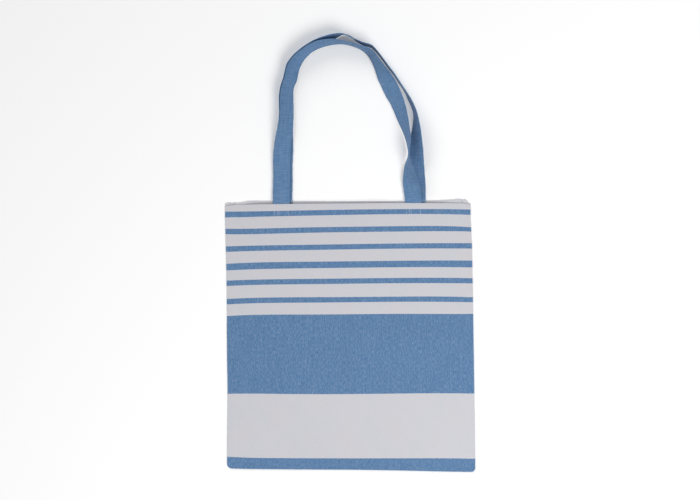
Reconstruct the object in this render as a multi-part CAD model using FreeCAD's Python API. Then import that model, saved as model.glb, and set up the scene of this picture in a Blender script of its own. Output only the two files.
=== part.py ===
import FreeCAD, Part
import os

os.makedirs("parts", exist_ok=True)
V = FreeCAD.Vector

# Flat tote bag: two cloth panels sewn along both sides and the bottom, open at the top,
# and two sewn strap handles. Millimetres. The bag lies on its back panel on z = 0,
# mouth towards +Y, front panel up. The origin is the middle of the bag body's underside.

# ---------------------------------------------------------------- driving dimensions
cloth = 1.0                 # panel thickness, hems and all
strap_t = 1.6               # thickness of the folded and pressed strap
strap_w = 26.0              # width of a strap
hem_depth = 22.0            # depth of the folded hem at the mouth
crown = 12.0                # clear height inside the bag where the front panel stands off
flank = 65.0                # how far in from each side seam the front panel is still rising
rise = 74.0                 # how far up from the bottom seam it is still rising
seam_gap = 0.6              # gap between the two panels at the seams
stitch_w = 0.6              # width of a stitch line
stitch_t = 0.3              # height of a stitch line

# corners of the body, going round: bottom left, bottom right, top right, top left
back_outline = [(-188.8, -202.2), (191.4, -207.4), (184.6, 209.4), (-192.3, 208.3)]
front_outline = [(-188.8, -202.2), (191.4, -207.4), (184.8, 205.0), (-192.0, 202.6)]

front_hinge_y, front_hinge_z = 208.2, 14.2   # where the front handle bends over the hem
back_hinge_y, back_hinge_z = 214.3, 1.0      # where the back handle bends under the hem
front_tail_x = (-106.4, 96.7)                # middle of the front handle's two sewn ends
back_tail_x = (-101.9, 103.1)                # middle of the back handle's two sewn ends
tail_len = 20.0

# Stations along each strap's middle surface, from its left end round to its right end:
# x, y, z of the edge that faces away from the loop at the ends, then x, y, z of the other edge.
front_strap = [
    (-119.0, 208.1, 14.2, -93.2, 208.1, 14.2),
    (-119.0, 225.7, 11.6, -93.2, 225.7, 11.6),
    (-118.8, 245.8, 8.6, -93.0, 245.8, 7.8),
    (-118.6, 267.4, 6.8, -92.8, 267.4, 5.6),
    (-117.9, 287.3, 7.6, -92.4, 287.5, 4.8),
    (-115.6, 305.6, 10.6, -90.4, 306.0, 4.6),
    (-111.4, 322.1, 15.7, -87.9, 322.9, 4.7),
    (-108.5, 335.6, 19.5, -87.5, 336.8, 4.3),
    (-107.4, 350.8, 20.6, -87.5, 352.2, 4.0),
    (-107.2, 367.6, 21.0, -87.6, 369.1, 4.0),
    (-105.5, 382.0, 22.1, -87.0, 382.3, 3.8),
    (-101.0, 397.1, 21.2, -82.8, 393.1, 3.1),
    (-95.1, 418.2, 21.9, -78.4, 411.8, 3.1),
    (-83.3, 432.8, 25.0, -72.0, 424.3, 3.1),
    (-73.2, 441.0, 26.4, -65.4, 432.6, 3.1),
    (-63.1, 447.5, 27.1, -57.1, 439.5, 3.1),
    (-51.7, 452.5, 27.3, -47.1, 444.3, 3.1),
    (-40.2, 454.7, 27.8, -37.0, 447.4, 3.1),
    (-30.0, 455.5, 28.3, -28.1, 449.4, 3.1),
    (-20.3, 454.9, 28.7, -19.6, 450.4, 3.1),
    (-13.0, 453.1, 28.9, -12.9, 450.7, 3.0),
    (-1.5, 451.2, 28.5, -2.8, 449.1, 2.6),
    (10.5, 447.9, 28.2, 8.0, 445.7, 2.4),
    (21.5, 444.4, 27.8, 16.8, 441.7, 2.4),
    (32.3, 440.0, 26.9, 25.1, 434.9, 2.4),
    (43.3, 427.2, 26.1, 33.0, 423.2, 2.6),
    (51.9, 415.7, 24.3, 38.2, 410.5, 2.8),
    (61.7, 404.2, 18.4, 42.5, 396.2, 2.8),
    (70.2, 391.9, 14.6, 48.7, 383.4, 2.8),
    (76.2, 379.5, 14.3, 54.2, 371.5, 3.0),
    (81.1, 366.0, 18.4, 61.3, 359.2, 3.0),
    (85.2, 351.3, 21.5, 67.6, 345.7, 3.2),
    (88.6, 334.8, 24.8, 73.8, 331.0, 3.8),
    (90.4, 319.9, 28.2, 79.6, 318.3, 4.6),
    (91.9, 305.1, 30.4, 84.6, 304.8, 5.4),
    (90.9, 292.3, 31.3, 87.6, 293.6, 5.6),
    (89.6, 278.2, 31.5, 89.3, 280.0, 5.6),
    (94.0, 262.7, 29.6, 83.6, 263.4, 5.8),
    (99.2, 248.5, 25.8, 81.5, 249.7, 6.8),
    (104.7, 236.1, 19.3, 80.8, 237.1, 9.0),
    (108.3, 222.5, 13.0, 82.8, 222.6, 11.4),
    (109.8, 208.1, 14.2, 84.0, 208.1, 14.2),
]
back_strap = [
    (-115.3, 214.6, 1.0, -89.3, 214.6, 1.0),
    (-115.2, 233.8, 1.0, -89.1, 233.8, 1.0),
    (-114.9, 256.9, 1.0, -88.8, 256.9, 1.0),
    (-114.2, 284.6, 1.6, -88.3, 284.6, 1.0),
    (-113.8, 306.0, 4.7, -88.0, 306.2, 1.0),
    (-111.9, 322.4, 11.9, -88.3, 323.2, 1.0),
    (-109.7, 335.8, 17.0, -89.3, 337.0, 1.0),
    (-109.2, 351.0, 18.0, -89.6, 352.5, 1.0),
    (-109.2, 367.8, 18.5, -90.0, 369.4, 1.0),
    (-107.6, 382.2, 19.7, -89.6, 383.1, 1.0),
    (-102.9, 397.9, 19.2, -84.7, 393.9, 1.0),
    (-96.9, 419.2, 19.9, -80.2, 412.9, 1.0),
    (-84.7, 434.3, 22.9, -73.5, 425.9, 1.0),
    (-74.4, 442.7, 24.4, -66.6, 434.3, 1.0),
    (-64.1, 449.5, 25.0, -58.1, 441.4, 1.0),
    (-53.0, 455.5, 24.8, -47.9, 446.3, 1.0),
    (-41.9, 459.8, 24.5, -37.7, 449.5, 1.0),
    (-31.6, 462.7, 25.7, -29.3, 454.8, 1.0),
    (-21.4, 464.2, 26.7, -20.8, 460.6, 1.0),
    (-13.4, 464.1, 27.0, -13.6, 465.2, 1.0),
    (-1.5, 459.5, 26.6, -1.2, 464.1, 1.0),
    (8.5, 455.1, 26.6, 9.3, 459.5, 1.0),
    (18.6, 450.8, 26.7, 18.8, 454.5, 1.0),
    (33.0, 446.1, 27.0, 32.1, 447.3, 1.0),
    (40.0, 438.7, 26.9, 38.7, 440.2, 1.0),
    (47.9, 428.7, 26.9, 46.6, 430.3, 1.0),
    (59.4, 413.1, 26.9, 58.1, 414.6, 1.0),
    (67.4, 402.7, 26.9, 66.3, 404.1, 1.0),
    (73.7, 393.0, 26.9, 72.5, 394.4, 1.0),
    (78.9, 385.0, 26.9, 78.0, 386.4, 1.0),
    (85.0, 376.2, 27.0, 84.0, 377.1, 1.0),
    (92.2, 365.0, 26.8, 89.1, 365.0, 1.0),
    (97.4, 355.0, 26.7, 93.7, 355.2, 1.0),
    (102.3, 341.6, 26.5, 97.3, 342.1, 1.0),
    (105.3, 328.2, 25.5, 96.7, 327.8, 1.0),
    (107.9, 316.9, 23.5, 94.8, 316.1, 1.0),
    (109.4, 304.9, 20.9, 92.7, 304.7, 1.0),
    (111.4, 288.8, 16.5, 90.5, 288.9, 1.0),
    (112.9, 271.8, 10.8, 88.8, 272.0, 1.0),
    (114.7, 253.8, 1.2, 88.8, 253.8, 1.0),
    (115.8, 233.8, 1.0, 89.7, 233.8, 1.0),
    (116.2, 214.6, 1.0, 90.2, 214.6, 1.0),
]


# ---------------------------------------------------------------- helpers
def closed(tris):
    """A solid from triangles given as point triples, joined by shared edges."""
    faces = []
    for a, b, c in tris:
        if (b.sub(a)).cross(c.sub(a)).Length < 1e-7:
            continue
        faces.append(Part.Face(Part.makePolygon([a, b, c, a])))
    sewn = Part.Compound(faces)
    sewn.sewShape()
    shell = sewn.Shells[0] if sewn.ShapeType == "Compound" else sewn
    if shell.ShapeType != "Shell":
        shell = shell.Shells[0]
    s = Part.Solid(shell)
    if s.Volume < 0:
        s.reverse()
        s = Part.Solid(Part.Shell(s.Faces)) if s.Volume < 0 else s
    assert s.isValid() and abs(s.Volume) > 0
    return s


def quad(a, b, c, d):
    return [(a, b, c), (a, c, d)]


def tube(rings):
    """A closed solid through rings of equal point count."""
    t = []
    n = len(rings[0])
    for r0, r1 in zip(rings[:-1], rings[1:]):
        for k in range(n):
            m = (k + 1) % n
            t += quad(r0[k], r0[m], r1[m], r1[k])
    for r, flip in ((rings[0], True), (rings[-1], False)):
        for k in range(1, n - 1):
            tri = (r[0], r[k], r[k + 1])
            t.append((tri[0], tri[2], tri[1]) if flip else tri)
    return closed(t)


def lerp(a, b, t):
    return V(a.x + (b.x - a.x) * t, a.y + (b.y - a.y) * t, a.z + (b.z - a.z) * t)


def ribbon(stations, half, lo=0.0, hi=1.0, base=0.0):
    """A band between the fractions lo and hi of the strap's width, from base - half to base + half off its middle."""
    O = [V(*s[:3]) for s in stations]
    I = [V(*s[3:]) for s in stations]
    rings = []
    n = len(O)
    for k in range(n):
        a, b = max(k - 1, 0), min(k + 1, n - 1)
        along = (O[b].add(I[b])).sub(O[a].add(I[a]))
        across = I[k].sub(O[k])
        nrm = across.cross(along)
        nrm.normalize()
        p, q = lerp(O[k], I[k], lo), lerp(O[k], I[k], hi)
        up, dn = nrm * (base + half), nrm * (base - half)
        rings.append([p.add(up), q.add(up), q.add(dn), p.add(dn)])
    return tube(rings)


def plate(cols, rows, top, bottom):
    """A sheet over a grid: cols and rows are fractions, top and bottom give a point for (u, v)."""
    t = []
    P = [[top(u, v) for u in cols] for v in rows]
    Q = [[bottom(u, v) for u in cols] for v in rows]
    nr, nc = len(rows), len(cols)
    for j in range(nr - 1):
        for i in range(nc - 1):
            t += quad(P[j][i], P[j][i + 1], P[j + 1][i + 1], P[j + 1][i])
            t += quad(Q[j][i], Q[j + 1][i], Q[j + 1][i + 1], Q[j][i + 1])
    for i in range(nc - 1):
        t += quad(P[0][i], Q[0][i], Q[0][i + 1], P[0][i + 1])
        t += quad(P[-1][i], P[-1][i + 1], Q[-1][i + 1], Q[-1][i])
    for j in range(nr - 1):
        t += quad(P[j][0], P[j + 1][0], Q[j + 1][0], Q[j][0])
        t += quad(P[j][-1], Q[j][-1], Q[j + 1][-1], P[j + 1][-1])
    return closed(t)


def refined(stations, n=3):
    """The same strap with each span cut into n shorter ones, which keeps its triangles close to the twisting surface."""
    out = []
    for a, b in zip(stations[:-1], stations[1:]):
        out += [tuple(p + (q - p) * k / n for p, q in zip(a, b)) for k in range(n)]
    return out + [stations[-1]]


def spot(outline, u, v):
    (x0, y0), (x1, y1), (x2, y2), (x3, y3) = outline
    xb, yb = x0 + (x1 - x0) * u, y0 + (y1 - y0) * u
    xt, yt = x3 + (x2 - x3) * u, y3 + (y2 - y3) * u
    return xb + (xt - xb) * v, yb + (yt - yb) * v


def bar(x0, y0, x1, y1, z, w=stitch_w, t=stitch_t):
    """A straight stitch line lying on height z."""
    L = ((x1 - x0) ** 2 + (y1 - y0) ** 2) ** 0.5
    nx, ny = -(y1 - y0) / L * w / 2, (x1 - x0) / L * w / 2
    lo = [V(x0 + nx, y0 + ny, z), V(x0 - nx, y0 - ny, z), V(x1 - nx, y1 - ny, z), V(x1 + nx, y1 + ny, z)]
    face = Part.Face(Part.makePolygon(lo + [lo[0]]))
    return face.extrude(V(0, 0, t))


def box(x0, x1, y0, y1, z0, z1):
    return Part.makeBox(x1 - x0, y1 - y0, z1 - z0, V(x0, y0, z0))


def save(name, *solids):
    shape = solids[0] if len(solids) == 1 else Part.makeCompound(list(solids))
    assert shape.isValid(), name
    for s in shape.Solids:
        assert s.isClosed() and s.Volume > 0, name
    shape.exportStep("parts/%s.step" % name)
    bb = shape.BoundBox
    print("%-28s vol %9.1f  x %7.1f..%7.1f  y %7.1f..%7.1f  z %6.2f..%6.2f" % (
        name, shape.Volume, bb.XMin, bb.XMax, bb.YMin, bb.YMax, bb.ZMin, bb.ZMax))


# ---------------------------------------------------------------- panels
width = 380.0
height = 411.0
vh = 1.0 - hem_depth / height


def back_top(u, v):
    x, y = spot(back_outline, u, v)
    return V(x, y, cloth)


def back_bottom(u, v):
    x, y = spot(back_outline, u, v)
    return V(x, y, 0.0)


def hem_fold(outline, z0, z1):
    """The cloth folded back inside the mouth, one more layer thick."""
    a, b = spot(outline, 0.02, 1.0), spot(outline, 0.98, 1.0)
    c, d = spot(outline, 0.98, vh), spot(outline, 0.02, vh)
    pts = [V(p[0], p[1], z0) for p in (d, c, b, a)]
    return Part.Face(Part.makePolygon(pts + [pts[0]])).extrude(V(0, 0, z1 - z0))


back_panel = plate([0, 1], [0, 1], back_top, back_bottom).fuse(
    hem_fold(back_outline, cloth - 0.2, 2 * cloth)).removeSplitter()

uf = flank / width
vr = rise / height


def lift(u, v):
    """Height of the front panel's underside above its rim."""
    du = min(u, 1 - u) / uf
    dv = v / vr
    return min(1.0, du, dv) * (crown - seam_gap)


def front_bottom(u, v):
    x, y = spot(front_outline, u, v)
    z = cloth + seam_gap + lift(u, v)
    return V(x, y, z)


def front_top(u, v):
    x, y = spot(front_outline, u, v)
    return V(x, y, cloth + seam_gap + lift(u, v) + cloth)


def fold_bottom(u, v):
    p = front_bottom(u, v)
    return V(p.x, p.y, p.z - cloth)


def fold_top(u, v):
    p = front_bottom(u, v)
    return V(p.x, p.y, p.z + 0.3)


front_cloth = plate([0, uf, 1 - uf, 1], [0, vr, 1], front_top, front_bottom)
front_fold = plate([0.06, uf, 1 - uf, 0.94], [vh, 1], fold_top, fold_bottom)
front_panel = front_cloth.fuse(front_fold)
save("front_panel", front_panel)
save("back_panel", back_panel)

front_under = cloth + crown - cloth          # underside of the front hem's fold
front_face = cloth + crown + cloth           # outer face of the front panel at its middle

# ---------------------------------------------------------------- handles
# the topstitch rows lie on the strap's faces, a little in from each edge
front_fine = refined(front_strap)
back_fine = refined(back_strap)
save("front_handle", ribbon(front_fine, strap_t / 2))
save("back_handle", ribbon(back_fine, strap_t / 2))


def rows_of(strap):
    off = strap_t / 2 + 0.4 + 0.1
    return [ribbon(strap[4:-4], 0.1, f - 0.01, f + 0.01, off) for f in (0.10, 0.90)]


save("front_handle_topstitch", *rows_of(front_fine))
save("back_handle_topstitch", *rows_of(back_fine))

ft0, ft1 = 184.5, 205.5
bt0, bt1 = 188.0, 210.5
save("front_handle_ends", *[
    box(x - strap_w / 2, x + strap_w / 2, ft0, ft1, front_under - 0.05 - strap_t, front_under - 0.05)
    for x in front_tail_x])
save("back_handle_ends", *[
    box(x - strap_w / 2, x + strap_w / 2, bt0, bt1, 2 * cloth + 0.05, 2 * cloth + 0.05 + strap_t)
    for x in back_tail_x])

# ---------------------------------------------------------------- threads
zf = front_face + 0.02


def frame(x, y0, y1, z, w=21.0):
    """A box of stitching through a handle's sewn end."""
    outer = box(x - w / 2, x + w / 2, y0, y1, z, z + stitch_t)
    inner = box(x - w / 2 + stitch_w, x + w / 2 - stitch_w, y0 + stitch_w, y1 - stitch_w, z - 1, z + 2)
    return outer.cut(inner)


save("front_left_box_stitch", frame(front_tail_x[0], 184.0, 202.0, zf))
save("front_right_box_stitch", frame(front_tail_x[1], 184.0, 202.0, zf))
zb = 2 * cloth + 0.05 + strap_t + 0.02
save("back_left_box_stitch", frame(back_tail_x[0], 189.0, 207.0, zb))
save("back_right_box_stitch", frame(back_tail_x[1], 189.0, 207.0, zb))

fy = 182.5
gaps = [(-124.0, front_tail_x[0] - 14), (front_tail_x[0] + 14, front_tail_x[1] - 14), (front_tail_x[1] + 14, 119.0)]
save("front_hem_thread", *[bar(a, fy, b, fy, zf) for a, b in gaps])
gaps = [(-180.0, back_tail_x[0] - 14), (back_tail_x[0] + 14, back_tail_x[1] - 14), (back_tail_x[1] + 14, 176.0)]
save("back_hem_thread", *[bar(a, 190.0, b, 190.0, 2 * cloth + 0.02) for a, b in gaps])


def along(u0, v0, u1, v1, w=stitch_w):
    a, b = spot(back_outline, u0, v0), spot(back_outline, u1, v1)
    return bar(a[0], a[1], b[0], b[1], cloth + 0.02, w, 0.2)


save("left_seam_thread", along(0.012, 0.03, 0.012, 0.93))
save("right_seam_thread", along(0.988, 0.03, 0.988, 0.93))
save("bottom_seam_thread", along(0.02, 0.013, 0.98, 0.013))
save("overlock_thread", along(0.0035, 0.03, 0.0035, 0.93, 1.6), along(0.9965, 0.03, 0.9965, 0.93, 1.6),
     along(0.02, 0.0035, 0.98, 0.0035, 1.6))
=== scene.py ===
# Looks of the striped tote bag: cloth panels with folded hems, strap handles, stitching, floor, light and camera.
# Everything is worked out in millimetres in the row frame and turned into metres when a mesh is made.
import math

import bmesh
import bpy
import numpy as np
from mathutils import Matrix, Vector


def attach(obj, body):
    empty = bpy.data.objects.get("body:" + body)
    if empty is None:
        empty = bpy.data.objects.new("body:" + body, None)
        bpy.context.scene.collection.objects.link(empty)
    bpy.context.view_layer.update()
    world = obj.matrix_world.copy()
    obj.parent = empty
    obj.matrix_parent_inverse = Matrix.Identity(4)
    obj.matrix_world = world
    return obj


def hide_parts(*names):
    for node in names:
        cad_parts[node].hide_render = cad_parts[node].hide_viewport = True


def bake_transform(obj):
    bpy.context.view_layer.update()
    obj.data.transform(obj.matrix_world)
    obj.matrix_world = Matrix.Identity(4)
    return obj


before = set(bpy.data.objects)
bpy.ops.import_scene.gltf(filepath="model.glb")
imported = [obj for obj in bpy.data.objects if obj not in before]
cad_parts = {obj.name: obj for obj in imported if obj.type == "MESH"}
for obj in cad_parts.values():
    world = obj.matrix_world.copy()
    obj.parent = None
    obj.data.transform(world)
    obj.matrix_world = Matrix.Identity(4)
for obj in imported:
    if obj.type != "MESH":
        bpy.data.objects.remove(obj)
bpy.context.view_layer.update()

CLOTH = 0.4          # thickness of the woven cloth
LAYER = 0.45         # from the middle of one layer to the middle of the next in a pressed fold
ALLOW = 13.0         # seam allowance, turned inside
HEM = 22.0           # depth of the folded hem
CROWN = 12.1         # how high the front panel stands at its middle
BACK_Z = 0.2         # middle of the back panel's cloth
LIP_FRONT = 1.66     # middle of the front panel's cloth just inside the seam
STRAP_W, STRAP_T = 26.0, 1.5
FRONT_TAILS, BACK_TAILS = (-106.4, 96.7), (-101.9, 103.1)

# outline of the body, as (along, across) pairs
LEFT = [(204.4, -192.8), (186.0, -192.8), (161.3, -192.2), (130.5, -191.4), (99.6, -190.7), (50.3, -190.0),
        (-0.6, -189.9), (-39.1, -189.5), (-80.7, -188.9), (-110.0, -189.0), (-150.1, -189.5), (-205.6, -189.7)]
RIGHT = [(204.4, 185.3), (192.1, 185.0), (178.2, 185.4), (161.3, 186.4), (139.7, 187.3), (99.6, 188.1),
         (50.3, 189.0), (-0.6, 189.7), (-51.4, 190.5), (-100.7, 191.3), (-150.1, 192.1), (-205.6, 192.5)]
BOTTOM = [(-190.0, -202.9), (-170.0, -203.5), (-100.6, -204.4), (-46.7, -204.8), (-0.5, -205.0), (45.8, -205.7),
          (95.1, -206.6), (138.3, -207.7), (192.2, -208.5)]
FRONT_MOUTH = [(-192.8, 201.2), (-188.4, 202.0), (-169.7, 203.0), (-154.2, 203.4), (-118.7, 203.9), (-61.8, 204.6),
               (-0.5, 205.0), (45.6, 205.5), (82.4, 205.7), (122.5, 205.6), (161.2, 205.4), (176.0, 205.2),
               (181.0, 204.6), (185.1, 203.0)]
BACK_MOUTH = [(-192.9, 205.1), (-190.1, 206.7), (-180.8, 207.0), (-170.0, 206.6), (-159.3, 208.6), (-131.5, 209.2),
              (-85.3, 208.8), (-0.5, 208.6), (76.6, 208.8), (115.2, 209.2), (153.7, 210.9), (171.0, 212.2),
              (178.8, 211.7), (184.5, 205.6)]
# heights of the stripes' edges above the origin, at nine places across the cloth
STRIPE_X = [-182.3, -154.6, -100.6, -46.7, -0.5, 45.8, 95.1, 138.2, 178.3]
STRIPE_Y = [
    (192.7, 183.5, 165.7, 156.8, 138.5, 129.4, 111.2, 102.4, 85.0, 76.5, 58.1, 49.0, 31.4, -88.0, -185.4),
    (192.5, 183.7, 165.1, 156.0, 138.8, 130.0, 112.2, 103.4, 85.9, 77.6, 59.1, 50.3, 32.8, -87.7, -186.4),
    (193.9, 185.4, 167.3, 158.6, 140.6, 131.7, 113.9, 105.1, 87.2, 79.0, 60.6, 51.6, 33.7, -87.6, -187.0),
    (194.8, 186.5, 167.8, 159.0, 140.4, 132.0, 113.8, 105.3, 87.4, 79.2, 60.5, 51.6, 33.7, -87.4, -187.0),
    (195.2, 186.8, 168.2, 159.5, 141.7, 133.1, 114.7, 106.4, 88.3, 80.0, 61.0, 52.6, 34.3, -88.1, -187.2),
    (196.0, 188.2, 169.1, 160.5, 142.0, 133.7, 115.0, 106.9, 88.6, 80.6, 61.4, 53.0, 34.6, -86.9, -187.0),
    (196.6, 188.7, 170.1, 161.6, 143.1, 134.3, 115.6, 106.8, 88.9, 80.6, 61.5, 52.9, 34.5, -86.6, -187.3),
    (196.0, 188.1, 169.2, 160.9, 142.8, 134.2, 115.7, 107.3, 89.1, 80.8, 61.6, 53.0, 34.5, -87.0, -187.1),
    (195.9, 187.6, 168.4, 161.3, 143.2, 134.2, 115.7, 106.7, 88.4, 80.3, 60.5, 52.2, 34.2, -87.5, -187.9),
]

# the two straps: stations of their edges, the edge facing away from the loop first
front_strap = [
    (-119.0, 208.1, 14.2, -93.2, 208.1, 14.2),
    (-119.0, 225.7, 11.6, -93.2, 225.7, 11.6),
    (-118.8, 245.8, 8.6, -93.0, 245.8, 7.8),
    (-118.6, 267.4, 6.8, -92.8, 267.4, 5.6),
    (-117.9, 287.3, 7.6, -92.4, 287.5, 4.8),
    (-115.6, 305.6, 10.6, -90.4, 306.0, 4.6),
    (-111.4, 322.1, 15.7, -87.9, 322.9, 4.7),
    (-108.5, 335.6, 19.5, -87.5, 336.8, 4.3),
    (-107.4, 350.8, 20.6, -87.5, 352.2, 4.0),
    (-107.2, 367.6, 21.0, -87.6, 369.1, 4.0),
    (-105.5, 382.0, 22.1, -87.0, 382.3, 3.8),
    (-101.0, 397.1, 21.2, -82.8, 393.1, 3.1),
    (-95.1, 418.2, 21.9, -78.4, 411.8, 3.1),
    (-83.3, 432.8, 25.0, -72.0, 424.3, 3.1),
    (-73.2, 441.0, 26.4, -65.4, 432.6, 3.1),
    (-63.1, 447.5, 27.1, -57.1, 439.5, 3.1),
    (-51.7, 452.5, 27.3, -47.1, 444.3, 3.1),
    (-40.2, 454.7, 27.8, -37.0, 447.4, 3.1),
    (-30.0, 455.5, 28.3, -28.1, 449.4, 3.1),
    (-20.3, 454.9, 28.7, -19.6, 450.4, 3.1),
    (-13.0, 453.1, 28.9, -12.9, 450.7, 3.0),
    (-1.5, 451.2, 28.5, -2.8, 449.1, 2.6),
    (10.5, 447.9, 28.2, 8.0, 445.7, 2.4),
    (21.5, 444.4, 27.8, 16.8, 441.7, 2.4),
    (32.3, 440.0, 26.9, 25.1, 434.9, 2.4),
    (43.3, 427.2, 26.1, 33.0, 423.2, 2.6),
    (51.9, 415.7, 24.3, 38.2, 410.5, 2.8),
    (61.7, 404.2, 18.4, 42.5, 396.2, 2.8),
    (70.2, 391.9, 14.6, 48.7, 383.4, 2.8),
    (76.2, 379.5, 14.3, 54.2, 371.5, 3.0),
    (81.1, 366.0, 18.4, 61.3, 359.2, 3.0),
    (85.2, 351.3, 21.5, 67.6, 345.7, 3.2),
    (88.6, 334.8, 24.8, 73.8, 331.0, 3.8),
    (90.4, 319.9, 28.2, 79.6, 318.3, 4.6),
    (91.9, 305.1, 30.4, 84.6, 304.8, 5.4),
    (90.9, 292.3, 31.3, 87.6, 293.6, 5.6),
    (89.6, 278.2, 31.5, 89.3, 280.0, 5.6),
    (94.0, 262.7, 29.6, 83.6, 263.4, 5.8),
    (99.2, 248.5, 25.8, 81.5, 249.7, 6.8),
    (104.7, 236.1, 19.3, 80.8, 237.1, 9.0),
    (108.3, 222.5, 13.0, 82.8, 222.6, 11.4),
    (109.8, 208.1, 14.2, 84.0, 208.1, 14.2),
]
back_strap = [
    (-115.3, 214.6, 1.0, -89.3, 214.6, 1.0),
    (-115.2, 233.8, 1.0, -89.1, 233.8, 1.0),
    (-114.9, 256.9, 1.0, -88.8, 256.9, 1.0),
    (-114.2, 284.6, 1.6, -88.3, 284.6, 1.0),
    (-113.8, 306.0, 4.7, -88.0, 306.2, 1.0),
    (-111.9, 322.4, 11.9, -88.3, 323.2, 1.0),
    (-109.7, 335.8, 17.0, -89.3, 337.0, 1.0),
    (-109.2, 351.0, 18.0, -89.6, 352.5, 1.0),
    (-109.2, 367.8, 18.5, -90.0, 369.4, 1.0),
    (-107.6, 382.2, 19.7, -89.6, 383.1, 1.0),
    (-102.9, 397.9, 19.2, -84.7, 393.9, 1.0),
    (-96.9, 419.2, 19.9, -80.2, 412.9, 1.0),
    (-84.7, 434.3, 22.9, -73.5, 425.9, 1.0),
    (-74.4, 442.7, 24.4, -66.6, 434.3, 1.0),
    (-64.1, 449.5, 25.0, -58.1, 441.4, 1.0),
    (-53.0, 455.5, 24.8, -47.9, 446.3, 1.0),
    (-41.9, 459.8, 24.5, -37.7, 449.5, 1.0),
    (-31.6, 462.7, 25.7, -29.3, 454.8, 1.0),
    (-21.4, 464.2, 26.7, -20.8, 460.6, 1.0),
    (-13.4, 464.1, 27.0, -13.6, 465.2, 1.0),
    (-1.5, 459.5, 26.6, -1.2, 464.1, 1.0),
    (8.5, 455.1, 26.6, 9.3, 459.5, 1.0),
    (18.6, 450.8, 26.7, 18.8, 454.5, 1.0),
    (33.0, 446.1, 27.0, 32.1, 447.3, 1.0),
    (40.0, 438.7, 26.9, 38.7, 440.2, 1.0),
    (47.9, 428.7, 26.9, 46.6, 430.3, 1.0),
    (59.4, 413.1, 26.9, 58.1, 414.6, 1.0),
    (67.4, 402.7, 26.9, 66.3, 404.1, 1.0),
    (73.7, 393.0, 26.9, 72.5, 394.4, 1.0),
    (78.9, 385.0, 26.9, 78.0, 386.4, 1.0),
    (85.0, 376.2, 27.0, 84.0, 377.1, 1.0),
    (92.2, 365.0, 26.8, 89.1, 365.0, 1.0),
    (97.4, 355.0, 26.7, 93.7, 355.2, 1.0),
    (102.3, 341.6, 26.5, 97.3, 342.1, 1.0),
    (105.3, 328.2, 25.5, 96.7, 327.8, 1.0),
    (107.9, 316.9, 23.5, 94.8, 316.1, 1.0),
    (109.4, 304.9, 20.9, 92.7, 304.7, 1.0),
    (111.4, 288.8, 16.5, 90.5, 288.9, 1.0),
    (112.9, 271.8, 10.8, 88.8, 272.0, 1.0),
    (114.7, 253.8, 1.2, 88.8, 253.8, 1.0),
    (115.8, 233.8, 1.0, 89.7, 233.8, 1.0),
    (116.2, 214.6, 1.0, 90.2, 214.6, 1.0),
]


# ---------------------------------------------------------------- small helpers
def smoothstep(a, b, x):
    t = np.clip((x - a) / (b - a), 0.0, 1.0)
    return t * t * (3 - 2 * t)


def bump(d, width):
    return np.exp(-(d / width) ** 2)


def curve_through(pairs, x):
    """Smooth curve through a table (Catmull-Rom on uneven spacing)."""
    p = np.array(sorted(pairs), float)
    xs, ys = p[:, 0], p[:, 1]
    m = np.gradient(ys, xs)
    x = np.asarray(x, float)
    k = np.clip(np.searchsorted(xs, x) - 1, 0, len(xs) - 2)
    h = xs[k + 1] - xs[k]
    t = np.clip((x - xs[k]) / h, 0.0, 1.0)
    return ((2 * t**3 - 3 * t**2 + 1) * ys[k] + (t**3 - 2 * t**2 + t) * h * m[k]
            + (-2 * t**3 + 3 * t**2) * ys[k + 1] + (t**3 - t**2) * h * m[k + 1])


def left_x(y):
    return curve_through(LEFT, y)


def right_x(y):
    return curve_through(RIGHT, y)


def bottom_y(x):
    return curve_through(BOTTOM, x)


def front_mouth_y(x):
    return curve_through(FRONT_MOUTH, x)


def back_mouth_y(x):
    return curve_through(BACK_MOUTH, x)


STRIPE_MEAN = np.mean(np.array(STRIPE_Y), 0)
_cols = np.array(STRIPE_X) / 190.0
_fit = [np.polyfit(_cols, [r[k] for r in STRIPE_Y], 5) for k in range(len(STRIPE_MEAN))]


def cloth_v(x, y):
    """Place along the cloth, in mm, at which the woven pattern has the stripe that lies at (x, y)."""
    x, y = np.broadcast_arrays(np.asarray(x, float), np.asarray(y, float))
    edges = np.array([np.polyval(f, np.clip(x.ravel() / 190.0, -0.985, 0.965)) for f in _fit])[::-1]   # rising
    mean = STRIPE_MEAN[::-1]
    out = np.empty(x.size)
    yy = y.ravel()
    for i in range(x.size):
        e = edges[:, i]
        if yy[i] <= e[0]:
            out[i] = mean[0] + (yy[i] - e[0])
        elif yy[i] >= e[-1]:
            out[i] = mean[-1] + (yy[i] - e[-1])
        else:
            out[i] = np.interp(yy[i], e, mean)
    return out.reshape(x.shape)


def seg_dist(x, y, a, b):
    """Distance to the segment a-b and the fraction along it."""
    ax, ay, bx, by = *a, *b
    L2 = (bx - ax) ** 2 + (by - ay) ** 2
    t = ((x - ax) * (bx - ax) + (y - ay) * (by - ay)) / L2
    tc = np.clip(t, 0, 1)
    return np.hypot(x - ax - tc * (bx - ax), y - ay - tc * (by - ay)), tc


def undulate(x, y, seed=0.0):
    k = 2 * math.pi
    return (0.42 * np.sin(k * (x * 0.0071 + y * 0.0043) + 1.3 + seed) + 0.30 * np.sin(k * (x * 0.0127 - y * 0.0061) + 0.4 + seed)
            + 0.20 * np.sin(k * (-x * 0.0053 + y * 0.0162) + 2.2 + 2 * seed) + 0.11 * np.sin(k * (x * 0.0213 + y * 0.0171) + 5.1)
            + 0.07 * np.sin(k * (x * 0.031 - y * 0.026) + 0.9 + seed) + 0.05 * np.sin(k * (x * 0.047 + y * 0.039) + 3.7))


def inset_of(x, y):
    """Distance in from the seams (sides and bottom)."""
    return np.minimum(np.minimum(x - left_x(y), right_x(y) - x), y - bottom_y(x))


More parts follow.
